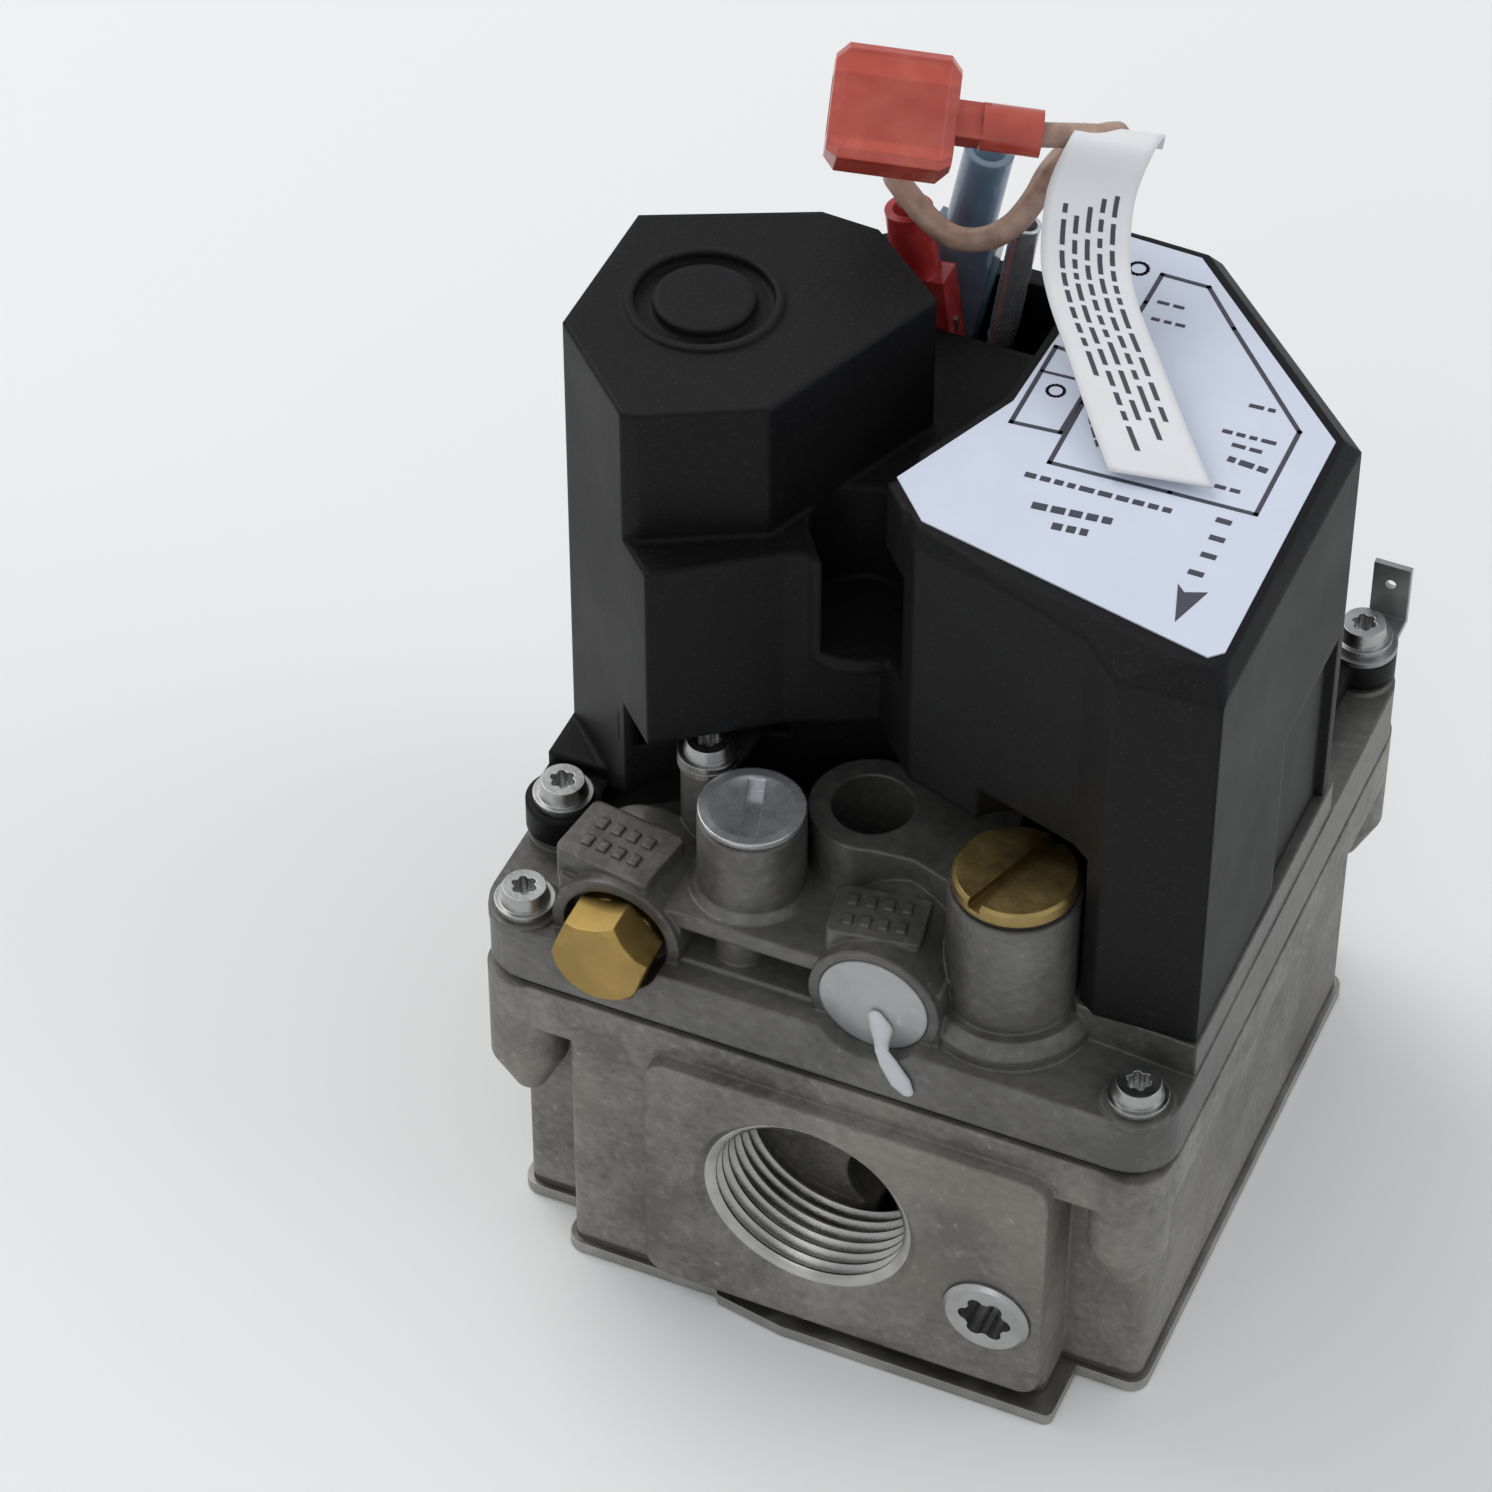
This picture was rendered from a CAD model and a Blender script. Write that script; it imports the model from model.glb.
import bpy
import bmesh
import math
from mathutils import Matrix, Vector


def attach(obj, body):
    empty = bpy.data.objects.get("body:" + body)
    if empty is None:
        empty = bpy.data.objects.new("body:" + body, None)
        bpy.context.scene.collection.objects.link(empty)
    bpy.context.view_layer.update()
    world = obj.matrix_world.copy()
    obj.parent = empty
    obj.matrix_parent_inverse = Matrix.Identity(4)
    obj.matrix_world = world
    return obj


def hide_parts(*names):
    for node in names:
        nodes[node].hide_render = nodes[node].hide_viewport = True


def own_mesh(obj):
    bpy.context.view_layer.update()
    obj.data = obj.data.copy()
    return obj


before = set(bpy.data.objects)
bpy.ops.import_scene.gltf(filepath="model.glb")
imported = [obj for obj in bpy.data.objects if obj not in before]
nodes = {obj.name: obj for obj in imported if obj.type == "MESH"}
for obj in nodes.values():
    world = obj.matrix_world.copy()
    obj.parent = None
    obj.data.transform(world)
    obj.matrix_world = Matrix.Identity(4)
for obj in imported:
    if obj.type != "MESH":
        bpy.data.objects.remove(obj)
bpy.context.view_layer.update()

mm = 0.001


# ---- camera and the free lead come first

shot = {"place": (170.9, -453.9, 540.9), "aim": (-27.2, 0.0, 50.51), "lens": 136.05}


def setCamera():
    lens = bpy.data.cameras.new("camera")
    lens.lens, lens.sensor_width = shot["lens"], 36
    lens.clip_start, lens.clip_end = 0.01, 20
    camera = bpy.data.objects.new("camera", lens)
    place, aim = Vector(shot["place"]) * mm, Vector(shot["aim"]) * mm
    camera.location = place
    camera.rotation_euler = (aim - place).to_track_quat("-Z", "Y").to_euler()
    bpy.context.collection.objects.link(camera)
    bpy.context.scene.camera = camera


lead = {
    "radius": 1.5,
    "steps": 6,
    "route": [
        (-17.6, 26, 120.8), (-18.8, 25.9, 123.2), (-18.8, 24.4, 125),
        (-16.8, 22.9, 124.6), (-13.8, 21.8, 122.8), (-10.2, 21, 121.6), (-6.4, 21.2, 122.3),
        (-3.4, 22.6, 124.3), (-1.9, 25.6, 126.5), (-1.4, 29, 128.1), (0, 32, 129.6),
        (2.8, 33.4, 131.4), (5.4, 32.4, 133.4), (4.8, 30, 134.6), (1.6, 28.6, 134.7),
        (-1.9, 27.4, 134.6), (-3.4, 27, 134.7),
    ],
}


def smoothRoute(points, steps):
    # Catmull-Rom through the points, the same curve as the model's
    p = [Vector(q) for q in points]
    out = []
    for i in range(len(p) - 1):
        a, b, c, d = p[max(i - 1, 0)], p[i], p[i + 1], p[min(i + 2, len(p) - 1)]
        for s in range(steps):
            t = s / steps
            out.append(0.5 * (2 * b + (c - a) * t + (2 * a - 5 * b + 4 * c - d) * t * t
                              + (3 * b - a - 3 * c + d) * t ** 3))
    return [q * mm for q in out + [p[-1]]]


def routeLength(points):
    return sum((b - a).length for a, b in zip(points, points[1:]))


def curveTube(name, points, radius):
    curve = bpy.data.curves.new(name, "CURVE")
    curve.dimensions, curve.bevel_depth, curve.bevel_resolution = "3D", radius, 5
    curve.use_fill_caps = True
    spline = curve.splines.new("POLY")
    spline.points.add(len(points) - 1)
    for point, place in zip(spline.points, points):
        point.co = (*place, 1)
    spline.use_smooth = True
    tube = bpy.data.objects.new(name, curve)
    bpy.context.collection.objects.link(tube)
    return tube


setCamera()
leadPoints = smoothRoute(lead["route"], lead["steps"])
leadPiece = curveTube("jumper_lead", leadPoints, lead["radius"] * mm * 0.985)
print("camera and lead made")


# ---- shader helper

class Link:
    # a socket that can be added, scaled and compared
    def __init__(self, tree, socket=None):
        self.tree, self.socket = tree, socket

    def node(self, kind, settings=None, sockets=None, out=0):
        made = self.tree.nodes.new(kind)
        for key, value in (settings or {}).items():
            if key == "stops":
                ramp = made.color_ramp
                while len(ramp.elements) < len(value):
                    ramp.elements.new(0.5)
                for stop, (place, colour) in zip(ramp.elements, value):
                    stop.position, stop.color = place, (*colour, 1)
            else:
                setattr(made, key, value)
        for key, value in (sockets or {}).items():
            if isinstance(value, Link):
                self.tree.links.new(value.socket, made.inputs[key])
            else:
                made.inputs[key].default_value = value
        return Link(self.tree, made.outputs[out])

    def sum(self, how, a, b=0.0):
        return self.node("ShaderNodeMath", {"operation": how}, {0: a, 1: b})

    def __add__(self, other): return self.sum("ADD", self, other)
    def __sub__(self, other): return self.sum("SUBTRACT", self, other)
    def __mul__(self, other): return self.sum("MULTIPLY", self, other)

    def clamp(self, low=0.0, high=1.0):
        return self.sum("MINIMUM", self.sum("MAXIMUM", self, low), high)

    def blend(self, a, b):
        # colours a to b as this value goes from 0 to 1
        a = (*a, 1) if isinstance(a, tuple) else a
        b = (*b, 1) if isinstance(b, tuple) else b
        return self.node("ShaderNodeMix", {"data_type": "RGBA", "clamp_factor": True},
                         {0: self, 6: a, 7: b}, out=2)


def startFinish(name):
    material = bpy.data.materials.new(name)
    material.use_nodes = True
    tree = material.node_tree
    shader = tree.nodes["Principled BSDF"]
    here = Link(tree).node("ShaderNodeTexCoord", out=3)
    return material, shader, here


def feed(shader, **sockets):
    for key, value in sockets.items():
        socket = shader.inputs[key.replace("_", " ")]
        if isinstance(value, Link):
            value.tree.links.new(value.socket, socket)
        else:
            socket.default_value = value


def noiseAt(here, scale, detail=3.0, rough=0.5, stretch=None):
    if stretch:
        here = here.node("ShaderNodeMapping", {}, {0: here, 3: stretch})
    return here.node("ShaderNodeTexNoise", {}, {"Vector": here, "Scale": scale, "Detail": detail,
                                                "Roughness": rough})


def bumpOf(height, strength, distance, edge=0.0):
    # fine relief, over edges rounded in the shading by the given radius in mm
    sockets = {"Strength": strength, "Distance": distance, "Height": height}
    if edge:
        sockets["Normal"] = height.node("ShaderNodeBevel", {"samples": 6}, {"Radius": edge * mm})
    return height.node("ShaderNodeBump", {}, sockets)


# ---- finishes

castLook = {"light": (0.34, 0.33, 0.298), "dark": (0.125, 0.121, 0.109), "stain": (0.245, 0.232, 0.196)}


def castFinish(name, light, dark, stain, rough, metal, grain, bump, edge=0.55):
    # die-cast metal: broad blotches, fine grain, small pits, worn light specks
    material, shader, here = startFinish(name)
    blotch = noiseAt(here, 70, 4, 0.6)
    patch = noiseAt(here, 24, 2, 0.5)
    fine = noiseAt(here, grain, 3, 0.6)
    pits = here.node("ShaderNodeTexVoronoi", {"feature": "F1"}, {"Vector": here, "Scale": grain * 0.55})
    tone = ((blotch - 0.36) * 2.0 + (fine - 0.5) * 0.9).clamp()
    base = tone.blend(dark, light)
    base = ((patch - 0.52) * 3.2).clamp().blend(base, stain)
    base = ((fine - 0.66) * 5.0).clamp(0.0, 0.6).blend(base, tuple(min(1, c * 1.3) for c in light))
    height = fine * 0.6 + pits * 0.5 + blotch * 0.25
    feed(shader, Base_Color=base, Roughness=((blotch - 0.5) * 0.3 + rough).clamp(0.15, 0.95),
         Metallic=metal, Normal=bumpOf(height, bump, 0.00035, edge))
    return material


def platedFinish(name, colour, rough, scratch=0.25, stretch=(1, 1, 12), edge=0.2, metal=1.0):
    # plated or turned metal with fine tool marks
    material, shader, here = startFinish(name)
    marks = noiseAt(here, 1400, 2, 0.5, stretch)
    wear = noiseAt(here, 160, 3, 0.6)
    base = ((wear - 0.4) * 2.0).clamp().blend(tuple(c * 0.62 for c in colour), colour)
    feed(shader, Base_Color=base, Metallic=metal,
         Roughness=((wear - 0.5) * 0.35 + (marks - 0.5) * 0.15 + rough).clamp(0.06, 0.9),
         Normal=bumpOf(marks, scratch, 0.00008, edge))
    return material


def mouldedFinish(name, colour, rough, grain=2600, bump=0.22, speck=0.0, edge=0.25, gloss=0.5):
    # moulded plastic or rubber with a fine spark texture
    material, shader, here = startFinish(name)
    texture = noiseAt(here, grain, 2, 0.55)
    cloud = noiseAt(here, 55, 3, 0.55)
    base = ((cloud - 0.4) * 1.8).clamp().blend(tuple(c * 0.82 for c in colour),
                                               tuple(c * 1.12 for c in colour))
    if speck:
        base = ((texture - 0.60) * 8.0).clamp().blend(base, tuple(c + speck for c in colour))
    feed(shader, Base_Color=base, Roughness=((cloud - 0.5) * 0.22 + rough).clamp(0.1, 0.95),
         Normal=bumpOf(texture, bump, 0.00012, edge))
    shader.inputs["Specular IOR Level"].default_value = gloss
    return material


def clearFinish(name, colour, deep, see):
    # clear tinted nylon: part of the light goes through, edges read darker
    material, shader, here = startFinish(name)
    cloud = noiseAt(here, 260, 2, 0.5)
    base = ((cloud - 0.35) * 1.6).clamp().blend(deep, colour)
    feed(shader, Base_Color=base, Roughness=(cloud * 0.12 + 0.2), Normal=bumpOf(cloud, 0.08, 0.0002, 0.4))
    shader.inputs["Transmission Weight"].default_value = see
    shader.inputs["IOR"].default_value = 1.45
    shader.inputs["Coat Weight"].default_value = 0.3
    return material


def windingFinish(name):
    # turns of enamelled wire, one ridge every 0.35 mm
    material, shader, here = startFinish(name)
    turns = here.node("ShaderNodeTexWave", {"bands_direction": "Z"}, {"Vector": here, "Scale": 450.0,
                                                                     "Distortion": 0.4, "Detail": 1.0})
    feed(shader, Base_Color=turns.blend((0.20, 0.07, 0.02), (0.62, 0.27, 0.10)), Metallic=0.8,
         Roughness=0.35, Normal=bumpOf(turns, 0.6, 0.0002))
    return material


def leadFinish(name):
    # brown insulation, a little faded and smudged along its length
    material, shader, here = startFinish(name)
    smudge = noiseAt(here, 330, 4, 0.6)
    base = here.node("ShaderNodeValToRGB", {"stops": [
        (0.25, (0.20, 0.12, 0.085)), (0.5, (0.36, 0.235, 0.175)), (0.75, (0.47, 0.335, 0.27))]}, {0: smudge})
    feed(shader, Base_Color=base, Roughness=(smudge * 0.3 + 0.28), Normal=bumpOf(smudge, 0.12, 0.0002))
    return material


def paperFinish(name, colour):
    # paper: fibres, faint creases and handling marks
    material, shader, here = startFinish(name)
    fibre = noiseAt(here, 1500, 4, 0.7)
    crease = noiseAt(here, 95, 3, 0.6)
    base = ((crease - 0.45) * 1.5).clamp().blend(tuple(c * 0.90 for c in colour), colour)
    feed(shader, Base_Color=base, Roughness=(crease * 0.2 + 0.5),
         Normal=bumpOf(fibre * 0.4 + crease, 0.18, 0.0003))
    shader.inputs["Subsurface Weight"].default_value = 0.1
    shader.inputs["Subsurface Radius"].default_value = (0.001, 0.001, 0.001)
    return material


def filmFinish(name, colour):
    # printed film: smooth, a faint mottle and small scuffs
    material, shader, here = startFinish(name)
    mottle = noiseAt(here, 120, 3, 0.6)
    scuff = noiseAt(here, 900, 2, 0.6, (1, 5, 1))
    base = ((mottle - 0.42) * 1.6).clamp().blend(tuple(c * 0.93 for c in colour), colour)
    base = ((scuff - 0.70) * 8.0).clamp().blend(base, tuple(c * 0.80 for c in colour))
    feed(shader, Base_Color=base, Roughness=(mottle * 0.25 + 0.30), Normal=bumpOf(mottle, 0.05, 0.0003))
    return material


finish = {
    "cast": castFinish("castLower", rough=0.55, metal=0.42, grain=900, bump=0.55, **castLook),
    "castTop": castFinish("castUpper", light=(0.215, 0.21, 0.196), dark=(0.098, 0.095, 0.089),
                          stain=(0.16, 0.154, 0.142), rough=0.45, metal=0.55, grain=750, bump=0.3),
    "plate": platedFinish("zincSheet", (0.52, 0.51, 0.48), 0.38),
    "thread": platedFinish("cutThread", (0.66, 0.65, 0.62), 0.24, 0.2, edge=0.1),
    "screws": platedFinish("zincScrew", (0.62, 0.62, 0.61), 0.30),
    "gasket": mouldedFinish("gasketRubber", (0.012, 0.012, 0.013), 0.75, grain=1800, bump=0.3),
    "packing": mouldedFinish("pressedPacking", (0.075, 0.066, 0.055), 0.8, grain=900, bump=0.3),
    "diaphragm": mouldedFinish("diaphragmCloth", (0.045, 0.035, 0.03), 0.8, grain=1200, bump=0.5),
    "brass": platedFinish("turnedBrass", (0.52, 0.38, 0.15), 0.44, 0.35, (1, 1, 9)),
    "brassHex": platedFinish("drawnBrass", (0.50, 0.34, 0.11), 0.40, 0.3, (1, 9, 1), edge=0.35),
    "steel": platedFinish("turnedSteel", (0.50, 0.51, 0.52), 0.32),
    "spring": platedFinish("springWire", (0.42, 0.43, 0.44), 0.35),
    "bright": platedFinish("brightPlate", (0.92, 0.93, 0.95), 0.26, 0.08, (1, 1, 3), edge=0.35, metal=0.75),
    "greyPlug": castFinish("plugMetal", light=(0.50, 0.50, 0.50), dark=(0.38, 0.38, 0.38),
                           stain=(0.44, 0.44, 0.44), rough=0.42, metal=0.35, grain=500, bump=0.12),
    "nylon": mouldedFinish("bobbinNylon", (0.62, 0.59, 0.50), 0.45, bump=0.1),
    "copper": windingFinish("coilCopper"),
    "black": mouldedFinish("coverBlack", (0.0052, 0.0052, 0.0057), 0.52, grain=2300, bump=0.3, speck=0.01,
                           edge=1.1, gloss=0.17),
    "seal": mouldedFinish("sealStrand", (0.62, 0.64, 0.66), 0.45, bump=0.1),
    "label": filmFinish("labelFilm", (0.66, 0.71, 0.82)),
    "ink": mouldedFinish("printInk", (0.05, 0.055, 0.075), 0.5, bump=0.05),
    "tab": platedFinish("tinPlate", (0.50, 0.50, 0.50), 0.42),
    "red": clearFinish("redNylon", (0.80, 0.10, 0.09), (0.50, 0.03, 0.035), 0.35),
    "redPale": clearFinish("redNylonClear", (0.80, 0.19, 0.13), (0.62, 0.09, 0.06), 0.45),
    "blue": clearFinish("blueNylon", (0.36, 0.50, 0.62), (0.22, 0.33, 0.44), 0.45),
    "wire": leadFinish("leadInsulation"),
    "paper": paperFinish("tagPaper", (0.80, 0.81, 0.82)),
}
print("finishes made")


# ---- making helpers

def dress(piece, material):
    piece.data.materials.clear()
    piece.data.materials.append(material)


def newPiece(name, bm, material, smoothAngle=35, recalc=True):
    bmesh.ops.remove_doubles(bm, verts=bm.verts, dist=1e-6)
    if recalc:
        bmesh.ops.recalc_face_normals(bm, faces=bm.faces)
    for face in bm.faces:
        face.smooth = True
    mesh = bpy.data.meshes.new(name)
    bm.to_mesh(mesh)
    bm.free()
    mesh.set_sharp_from_angle(angle=math.radians(smoothAngle))
    piece = bpy.data.objects.new(name, mesh)
    bpy.context.collection.objects.link(piece)
    dress(piece, material)
    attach(piece, "housing")
    return piece


def lathe(bm, profile, place, axis, steps):
    # profile of (radius, height) in mm, spun about an axis through place
    made = [bm.verts.new((r * mm, 0, h * mm)) for r, h in profile]
    edges = [bm.edges.new(pair) for pair in zip(made, made[1:])]
    spun = bmesh.ops.spin(bm, geom=made + edges, cent=(0, 0, 0), axis=(0, 0, 1),
                          angle=math.tau, steps=steps, use_merge=True, use_duplicate=False)
    turn = Matrix.Rotation(math.radians({"Y": -90, "-Y": 90}[axis]), 4, "X")
    fresh = {v for v in bm.verts if v.is_valid and v.tag is False}
    bmesh.ops.transform(bm, matrix=Matrix.Translation(Vector(place) * mm) @ turn, verts=list(fresh))
    for v in fresh:
        v.tag = True


def bar(bm, low, high, turn=0.0, about=None):
    # a box between two corners in mm, turned about the vertical
    low, high = Vector(low) * mm, Vector(high) * mm
    made = bmesh.ops.create_cube(bm, size=1.0)["verts"]
    size = high - low
    matrix = Matrix.Translation((low + high) / 2) @ Matrix.Diagonal((*size, 1))
    if turn:
        pivot = Matrix.Translation(Vector(about) * mm)
        matrix = pivot @ Matrix.Rotation(math.radians(turn), 4, "Z") @ pivot.inverted() @ matrix
    bmesh.ops.transform(bm, matrix=matrix, verts=made)
    return made


# ---- every carried-over node gets its finish

nodeFinish = {
    "bottom_plate": "plate", "bottom_plate_screws": "screws", "bottom_gasket": "packing",
    "diaphragm": "diaphragm", "diaphragm_plate": "steel", "valve_stem": "brass",
    "main_valve_disc": "gasket", "main_valve_spring": "spring", "inlet_screen": "steel",
    "outlet_tap_plug": "screws", "main_gasket": "gasket", "flange_screws": "screws",
    "brass_tap_plug": "brassHex", "port_closing_plug": "greyPlug", "adjuster_cover_screw": "bright",
    "dome_ring": "gasket", "flow_needle": "brass", "needle_ring": "gasket", "regulator_cap": "brass",
    "cap_seal": "gasket", "regulator_screw": "nylon", "spring_seat": "steel",
    "regulator_spring": "spring", "regulator_diaphragm": "diaphragm", "left_frame": "plate",
    "left_bobbin": "nylon", "left_winding": "copper", "left_guide_tube": "steel", "left_core": "steel",
    "left_plunger": "steel", "left_plunger_spring": "spring", "left_seat_disc": "gasket",
    "right_frame": "plate", "right_bobbin": "nylon", "right_winding": "copper",
    "right_guide_tube": "steel", "right_core": "steel", "right_plunger": "steel",
    "right_plunger_spring": "spring", "right_seat_disc": "gasket", "cover_label": "label",
    "cover_screw": "screws", "frame_screw": "screws", "ground_tab": "tab", "terminal_blades": "tab",
    "bright_sleeve": "bright", "loose_receptacle": "brass", "valve_body": "cast",
    "top_casting": "castTop", "cover": "black", "red_terminal": "red", "blue_terminal": "blue",
    "loose_terminal": "redPale",
}
for node, look in nodeFinish.items():
    dress(nodes[node], finish[look])
print("nodes dressed")


# ---- springs that shorten as their joint moves

springs = {
    "main_valve_spring": {"joint": "main_valve_lift", "fixed": 44.6, "travel": 4.0},
    "left_plunger_spring": {"joint": "first_valve_lift", "fixed": 86.9, "travel": 2.0},
    "right_plunger_spring": {"joint": "pilot_valve_lift", "fixed": 86.9, "travel": 2.0},
    "regulator_spring": {"joint": "regulator_setting", "fixed": 54.4, "travel": 3.0},
}


def makeSpring(node, spring):
    bm = bmesh.new()
    bm.from_mesh(nodes[node].data)
    low, high = (pick(v.co.z for v in bm.verts) for pick in (min, max))
    middle = sum((v.co for v in bm.verts), Vector()) / len(bm.verts)
    piece = newPiece(node.replace("_spring", "_coils"), bm, finish["spring"], recalc=False)
    1 - spring["travel"] * mm / (high - low)
    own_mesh(piece)
    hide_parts(node)


for node, spring in springs.items():
    makeSpring(node, spring)
print("springs made")


# ---- threads in the two gas ports

thread = {"radius": 13.28, "depth": 0.95, "pitch": 1.81, "turns": 7, "height": 23.0, "mouth": 44.0}


def makeThreads(name, side):
    # rings of thread, tapering slightly, down the port's wall
    bm = bmesh.new()
    profile = []
    for i in range(thread["turns"]):
        z = i * thread["pitch"]
        crest = thread["radius"] - thread["depth"] - i * 0.03
        profile += [(thread["radius"], z), (crest, z + thread["pitch"] * 0.42),
                    (crest, z + thread["pitch"] * 0.58)]
    profile.append((thread["radius"], thread["turns"] * thread["pitch"]))
    profile.append((thread["radius"] + 0.35, thread["turns"] * thread["pitch"]))
    profile.append((thread["radius"] + 0.35, 0))
    profile.append((thread["radius"], 0))
    axis = "Y" if side < 0 else "-Y"
    lathe(bm, profile, (0, side * thread["mouth"], thread["height"]), axis, steps=72)
    return newPiece(name, bm, finish["thread"], smoothAngle=50)


makeThreads("outlet_threads", -1)
makeThreads("inlet_threads", 1)
print("port threads cut")


# ---- printing on the label: frames, flow arrow and rows of plain strokes

labelPrint = {"top": 116.7, "thick": 0.05, "line": 0.55}


def strokeBetween(bm, a, b, width, z, thick):
    a, b = Vector((*a, 0)), Vector((*b, 0))
    middle, along = (a + b) / 2, b - a
    made = bmesh.ops.create_cube(bm, size=1.0)["verts"]
    turn = math.atan2(along.y, along.x)
    size = Matrix.Diagonal((along.length * mm, width * mm, thick * mm, 1))
    place = Matrix.Translation(Vector((middle.x, middle.y, z + thick / 2)) * mm)
    bmesh.ops.transform(bm, matrix=place @ Matrix.Rotation(turn, 4, "Z") @ size, verts=made)


def framePath(bm, points, width, z, thick, closed=True):
    ends = points[1:] + points[:1] if closed else points[1:]
    for a, b in zip(points, ends):
        a, b = Vector(a), Vector(b)
        reach = (b - a).normalized() * width / 2
        strokeBetween(bm, a - reach, b + reach, width, z, thick)


def strokeRow(bm, a, b, seed, z, thick, width):
    # one row of short strokes from a to b, broken where words would end
    a, b = Vector(a), Vector(b)
    along, left = (b - a).normalized(), (b - a).length
    while left > 0.8:
        run = min(0.9 + (seed * 37 % 7) * 0.14, left)
        strokeBetween(bm, a, a + along * run, width, z, thick)
        a, left, seed = a + along * (run + 0.5), left - run - 0.5, seed + 3


def printRing(bm, place, radius, width, z, thick):
    around = [(place[0] + radius * math.cos(math.tau * k / 14),
               place[1] + radius * math.sin(math.tau * k / 14)) for k in range(14)]
    framePath(bm, around, width, z, thick)


labelRows = [
    ((16.8, -15.7), (21.3, -15.2), 1.1), ((13.5, -13.4), (22.7, -12.4), 1.1),
    ((10.9, -8.9), (29.3, -8.1), 0.8), ((30.9, 2.7), (35.7, 2.4), 0.9), ((14.0, 25.1), (18.2, 25.2), 0.5),
    ((14.4, 22.0), (18.5, 22.2), 0.5), ((30.5, 5.1), (35.0, 5.2), 0.6), ((28.7, 6.9), (35.7, 7.2), 0.6),
    ((30.0, 12.2), (33.1, 12.4), 0.6), ((31.1, -2.2), (35.0, -2.1), 0.6), ((14.4, 2.8), (16.9, -1.2), 0.8),
    ((16.1, 2.8), (18.8, -2.3), 0.8),
]


def printLabel():
    z, thick, line = labelPrint["top"], labelPrint["thick"], labelPrint["line"]
    bm = bmesh.new()
    framePath(bm, [(12.8, 24.4), (12.8, 29.9), (18.6, 29.9), (23.8, 24.1), (36.8, 10.1), (37.0, -4.9),
                   (26.9, -5.3), (12.7, -6.0), (12.5, 5.0), (12.6, 14.6)], line, z, thick)
    framePath(bm, [(6.1, 12.9), (6.2, -1.3), (12.0, -0.8), (12.1, 12.6)], line, z, thick)
    framePath(bm, [(6.2, 8.3), (12.0, 8.6)], 0.4, z, thick, closed=False)
    printRing(bm, (8.9, 5.7), 1.0, 0.35, z, thick)
    printRing(bm, (9.9, 29.8), 1.1, 0.4, z, thick)
    for number, (a, b, width) in enumerate(labelRows):
        strokeRow(bm, a, b, number * 2 + 1, z, thick, width)
    # flow arrow towards the outlet, with short bars behind it
    tip = [(34.8, -24.8), (33.0, -19.0), (34.1, -20.0), (36.5, -19.0)]
    low = [bm.verts.new(Vector((x, y, z)) * mm) for x, y in tip]
    high = [bm.verts.new(Vector((x, y, z + thick)) * mm) for x, y in tip]
    bm.faces.new(high)
    bm.faces.new(low[::-1])
    for k in range(4):
        bm.faces.new((low[k], low[(k + 1) % 4], high[(k + 1) % 4], high[k]))
    for x, y in ((34.2, -16.6), (34.5, -13.4), (34.4, -10.4), (34.1, -7.4)):
        strokeBetween(bm, (x - 0.9, y), (x + 0.9, y), 0.8, z, thick)
    return newPiece("label_print", bm, finish["ink"])


printLabel()
print("label printed")


# ---- the paper tag

tag = {
    "width": 12.0, "taper": 0.22, "thick": 0.3, "side": (0.985, 0.17, 0.0),
    "inset": 0.985, "curl": 0.22, "inkLift": 0.19, "inkHalf": 0.055, "inkGap": 0.012,
    "line": [
        (6.2, 32.4, 132.4), (6.6, 31.2, 135.2), (6.4, 27.6, 135.4), (5.4, 24.4, 130.4),
        (7, 19, 125.4), (10.1, 14, 123.4), (14.7, 8.5, 121.4), (20.6, 1, 119.6), (25.6, -5, 118),
    ],
}


# printed rows: place across the tag, begin and end along it
tagRows = [
    (-0.52, 0.40, 0.80), (-0.24, 0.42, 0.90), (0.04, 0.40, 0.86), (0.32, 0.38, 0.88), (0.6, 0.37, 0.84),
]


def tagPlace(points, share, across):
    # a point on the tag: share runs from the fold to the free end, across from -1 to 1
    where = share * (len(points) - 1)
    i = min(int(where), len(points) - 2)
    here = points[i].lerp(points[i + 1], where - i)
    half = tag["width"] / 2 * (1 - tag["taper"] * (1 - share)) * mm
    ahead = (points[i + 1] - points[i]).normalized()
    side = Vector(tag["side"]).normalized()
    up = ahead.cross(side).normalized()
    if up.z < 0:
        up = -up
    curl = tag["curl"] * mm * (across * across - 0.4) * math.sin(math.pi * share)
    return here + side * half * across * tag["inset"] + up * curl, up


def makeTag():
    points = smoothRoute(tag["line"], 4)
    bm = bmesh.new()
    made = bmesh.ops.create_grid(bm, x_segments=10, y_segments=56, size=1.0)["verts"]
    for v in made:
        share, across = (v.co.y + 1) / 2, v.co.x
        v.co = tagPlace(points, share, across)[0]
    piece = newPiece("folded_tag", bm, finish["paper"], smoothAngle=60)
    skin = piece.modifiers.new("thickness", "SOLIDIFY")
    skin.thickness, skin.offset = tag["thick"] * mm, 0
    # printed rows run down the tag
    ink = bmesh.new()
    for number, (across, begin, end) in enumerate(tagRows):
        share, step = begin, number * 5
        while share < end:
            run = 0.018 + (step * 37 % 7) * 0.005
            strip = []
            for k in range(4):
                low, up = tagPlace(points, share + run * k / 3, across - tag["inkHalf"])
                high, _ = tagPlace(points, share + run * k / 3, across + tag["inkHalf"])
                lift = up * tag["inkLift"] * mm
                strip.append([ink.verts.new(low + lift), ink.verts.new(high + lift)])
            for (a, b), (c, d) in zip(strip, strip[1:]):
                ink.faces.new((a, b, d, c))
            share, step = share + run + tag["inkGap"], step + 3
    marks = newPiece("tag_print", ink, finish["ink"])
    return piece, marks


tagPiece, tagMarks = makeTag()
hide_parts("paper_tag")
print("tag folded")


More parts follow.
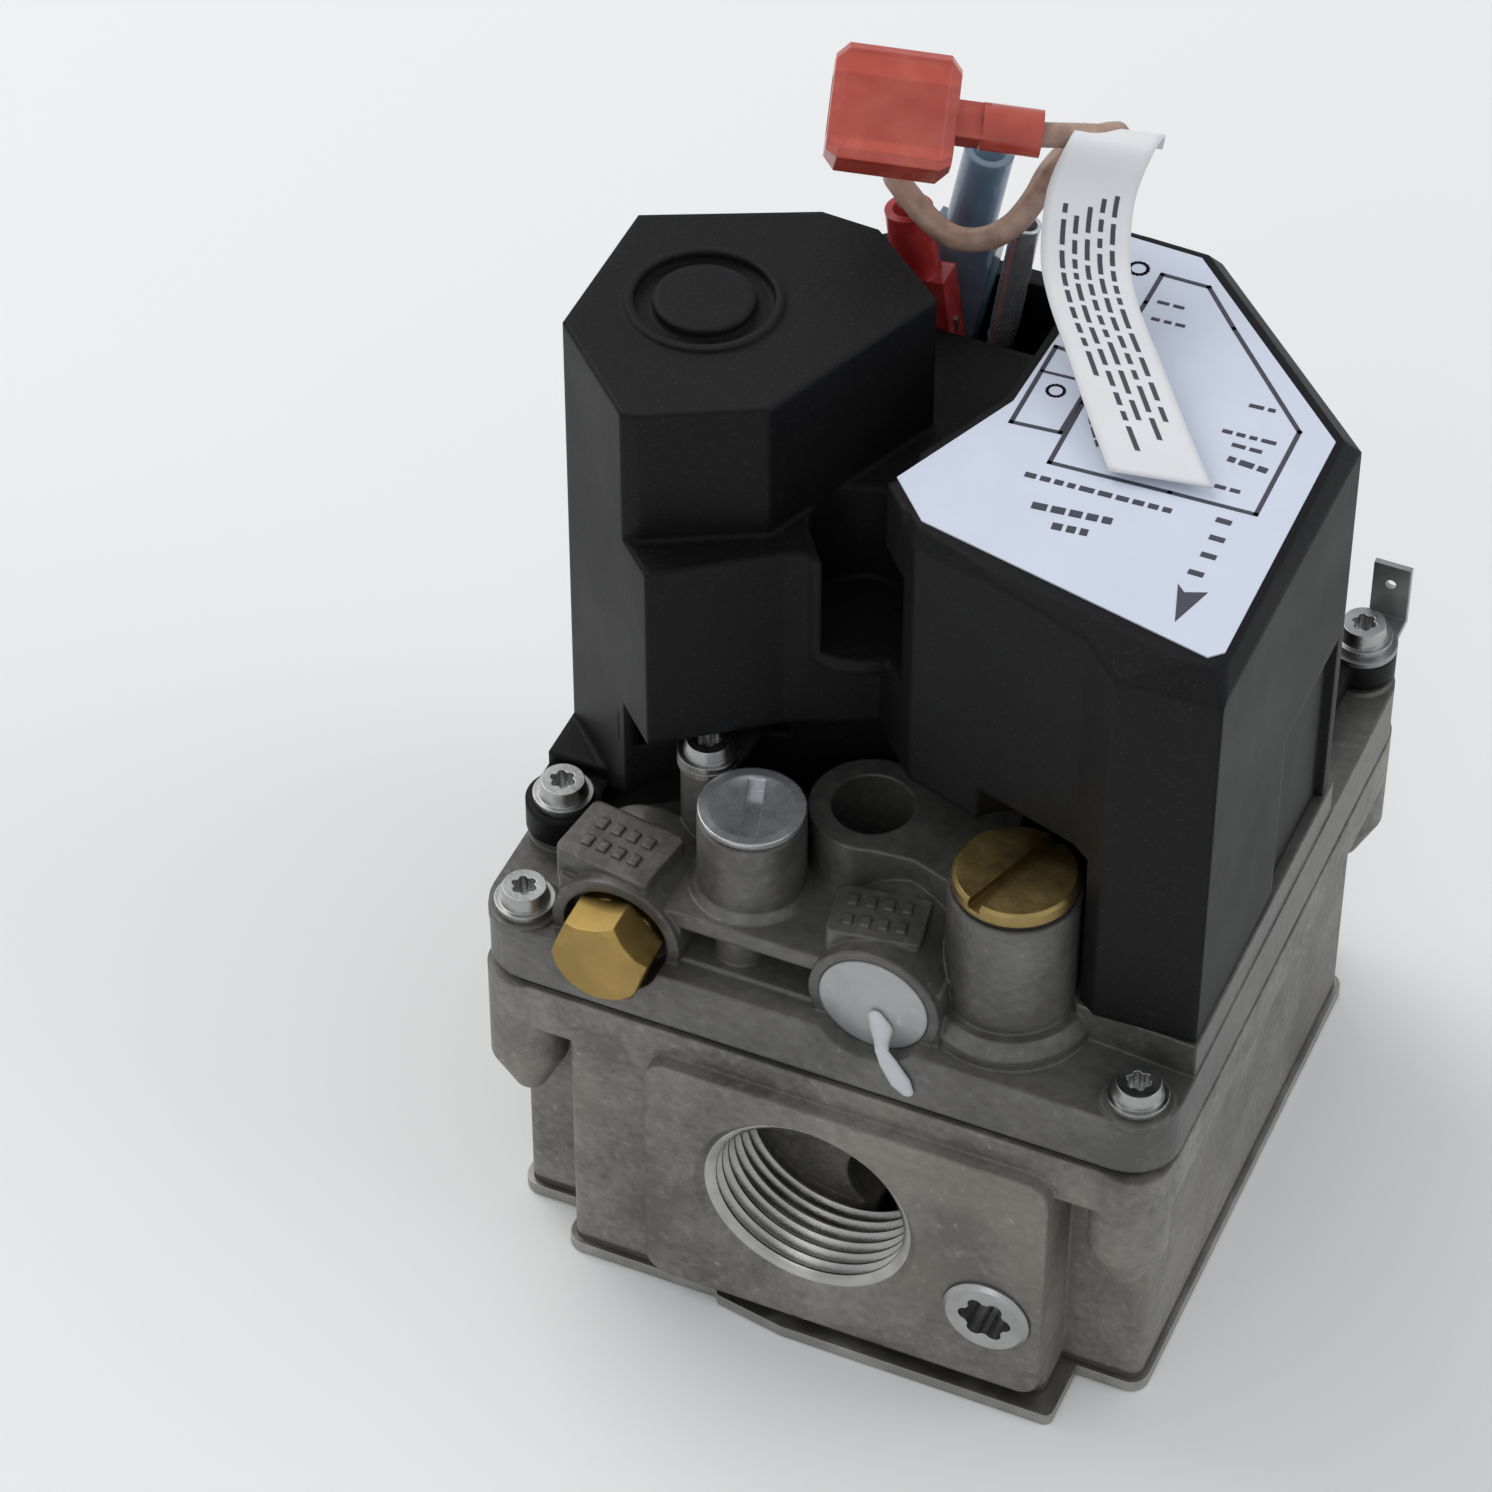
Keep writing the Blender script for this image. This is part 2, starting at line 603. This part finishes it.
# ---- strand of sealing compound hanging from the closing plug, and plain raised marks

def makeStrand():
    bm = bmesh.new()
    # centre and radius of each bead, joined by smaller steps between them
    shape = [(7.2, -41.0, 57.0, 1.0), (7.9, -41.1, 55.4, 1.5), (8.4, -42.2, 54.5, 1.0),
             (8.9, -43.2, 53.9, 0.9), (9.9, -43.3, 52.2, 1.3), (11.3, -43.35, 50.0, 1.45), (12.4, -43.35, 48.4, 0.8)]
    for (ax, ay, az, ar), (bx, by, bz, br) in zip(shape, shape[1:]):
        for k in range(4):
            t = k / 4
            made = bmesh.ops.create_icosphere(bm, subdivisions=2, radius=(ar + (br - ar) * t) * mm)["verts"]
            bmesh.ops.scale(bm, verts=made, vec=(1, 0.45, 1))
            bmesh.ops.translate(bm, verts=made, vec=Vector(
                (ax + (bx - ax) * t, ay + (by - ay) * t, az + (bz - az) * t)) * mm)
    return newPiece("seal_strand", bm, finish["seal"], smoothAngle=80)


def makeMarks():
    # rows of blank raised bars on the two plates of the upper casting and above the outlet plug
    bm = bmesh.new()
    for (x, y, z), turn, columns in (((-28.4, -34.4, 65.2), -8, 4), ((4.6, -34.2, 66.6), 10, 4)):
        for row in (-1.6, 1.6):
            for column in range(columns):
                left = x - 4.0 + column * 2.15
                bar(bm, (left, y + row - 0.85, z - 0.3), (left + 1.2, y + row + 0.85, z + 0.28),
                    turn, (x, y, z))
    for left, wide in ((17.0, 2.2), (20.4, 3.4), (25.0, 2.0)):
        bar(bm, (left, -44.3, 25.6), (left + wide, -43.9, 27.4))
    return newPiece("blank_marks", bm, finish["castTop"])


makeStrand()
makeMarks()
print("strand and marks made")

dress(leadPiece, finish["wire"])
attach(leadPiece, "housing")
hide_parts("jumper_wire")
routeLength(leadPoints)
print("lead declared")


# ---- floor and light

stage = {"floor": (0.84, 0.84, 0.83), "world": (0.86, 0.88, 0.92), "strength": 0.72,
         "size": 4.0, "drop": 0.2}


def makeStage():
    bm = bmesh.new()
    bmesh.ops.create_grid(bm, x_segments=1, y_segments=1, size=stage["size"])
    bmesh.ops.translate(bm, verts=bm.verts, vec=(0, 0, -stage["drop"] * mm))
    mesh = bpy.data.meshes.new("floor")
    bm.to_mesh(mesh)
    bm.free()
    floor = bpy.data.objects.new("floor", mesh)
    bpy.context.collection.objects.link(floor)
    material, shader, _ = startFinish("paleFloor")
    feed(shader, Base_Color=(*stage["floor"], 1), Roughness=0.6)
    dress(floor, material)
    world = bpy.data.worlds.new("studio")
    bpy.context.scene.world = world
    world.use_nodes = True
    back = world.node_tree.nodes["Background"]
    back.inputs[0].default_value = (*stage["world"], 1)
    back.inputs[1].default_value = stage["strength"]


def softLight(name, place, aim, size, power, colour):
    lamp = bpy.data.lights.new(name, "AREA")
    lamp.shape, lamp.size, lamp.energy, lamp.color = "DISK", size, power, colour
    holder = bpy.data.objects.new(name, lamp)
    holder.location = place
    holder.rotation_euler = (Vector(aim) - Vector(place)).to_track_quat("-Z", "Y").to_euler()
    bpy.context.collection.objects.link(holder)


lamps = {
    "keyLight": {"place": (-0.9, 0.35, 1.1), "aim": (0, 0, 0.05), "size": 1.1, "power": 7.5,
                 "colour": (1, 0.99, 0.97)},
    "rightLight": {"place": (1.1, 0.2, 0.9), "aim": (0, 0, 0.06), "size": 0.9, "power": 3.6,
                   "colour": (0.97, 0.98, 1)},
    "frontLight": {"place": (-0.1, -1.3, 0.9), "aim": (0, 0, 0.04), "size": 0.8, "power": 1.6,
                   "colour": (1, 1, 1)},
}
makeStage()
for name, lamp in lamps.items():
    softLight(name, **lamp)
bpy.context.scene.view_settings.view_transform = "Standard"
print("stage lit")
